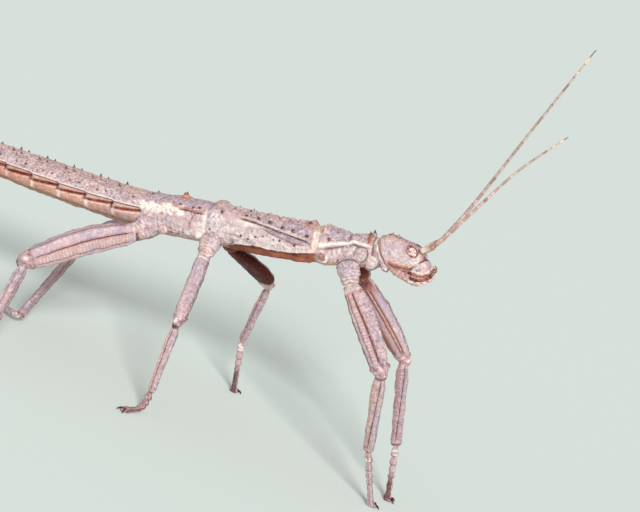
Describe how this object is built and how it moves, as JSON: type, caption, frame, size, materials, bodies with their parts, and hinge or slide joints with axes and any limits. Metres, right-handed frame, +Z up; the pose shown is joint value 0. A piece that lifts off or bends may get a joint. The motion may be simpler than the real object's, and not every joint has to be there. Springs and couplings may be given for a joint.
{
  "type": "spiny stick insect",
  "caption": "Life-size still model of a giant spiny stick insect, an adult female standing on its six feet with its feelers raised.",
  "frame": {"origin": "middle of the insect's box in X and Y, on the floor that its six soles stand on", "axes": "+X towards the head, -Y towards the insect's right side, +Z up"},
  "size_m": [0.1195, 0.07, 0.0893],
  "materials": {
    "body_skin": "dull, finely granular lavender-brown skin with cream markings",
    "leg_skin": "dull ribbed and granular pinkish brown skin",
    "mouth_skin": "satin orange-brown and cream mouthparts",
    "foot": "dull grey-brown foot joints",
    "horn": "satin dark red-brown spines, claws and beak",
    "feeler": "satin banded brown and cream feelers",
    "eye": "glossy pale pink eye with a brown rim"
  },
  "bodies": {
    "root": {"head": "body_skin", "mouthparts": "mouth_skin", "eye_right": "eye", "eye_left": "eye", "antenna_right": "feeler", "antenna_left": "feeler", "prothorax": "body_skin", "mesothorax": "body_skin", "metathorax": "body_skin", "abdomen_1": "body_skin", "abdomen_2": "body_skin", "abdomen_3": "body_skin", "abdomen_4": "body_skin", "abdomen_5": "body_skin", "abdomen_6": "body_skin", "abdomen_7": "body_skin", "abdomen_8": "body_skin", "abdomen_9": "body_skin", "abdomen_10": "body_skin", "ovipositor": "horn", "coxa_front_right": "leg_skin", "femur_front_right": "leg_skin", "tibia_front_right": "leg_skin", "tarsus_front_right": "foot", "coxa_front_left": "leg_skin", "femur_front_left": "leg_skin", "tibia_front_left": "leg_skin", "tarsus_front_left": "foot", "coxa_middle_right": "leg_skin", "femur_middle_right": "leg_skin", "tibia_middle_right": "leg_skin", "tarsus_middle_right": "foot", "coxa_middle_left": "leg_skin", "femur_middle_left": "leg_skin", "tibia_middle_left": "leg_skin", "tarsus_middle_left": "foot", "coxa_hind_right": "leg_skin", "femur_hind_right": "leg_skin", "tibia_hind_right": "leg_skin", "tarsus_hind_right": "foot", "coxa_hind_left": "leg_skin", "femur_hind_left": "leg_skin", "tibia_hind_left": "leg_skin", "tarsus_hind_left": "foot"}
  },
  "joints": []
}
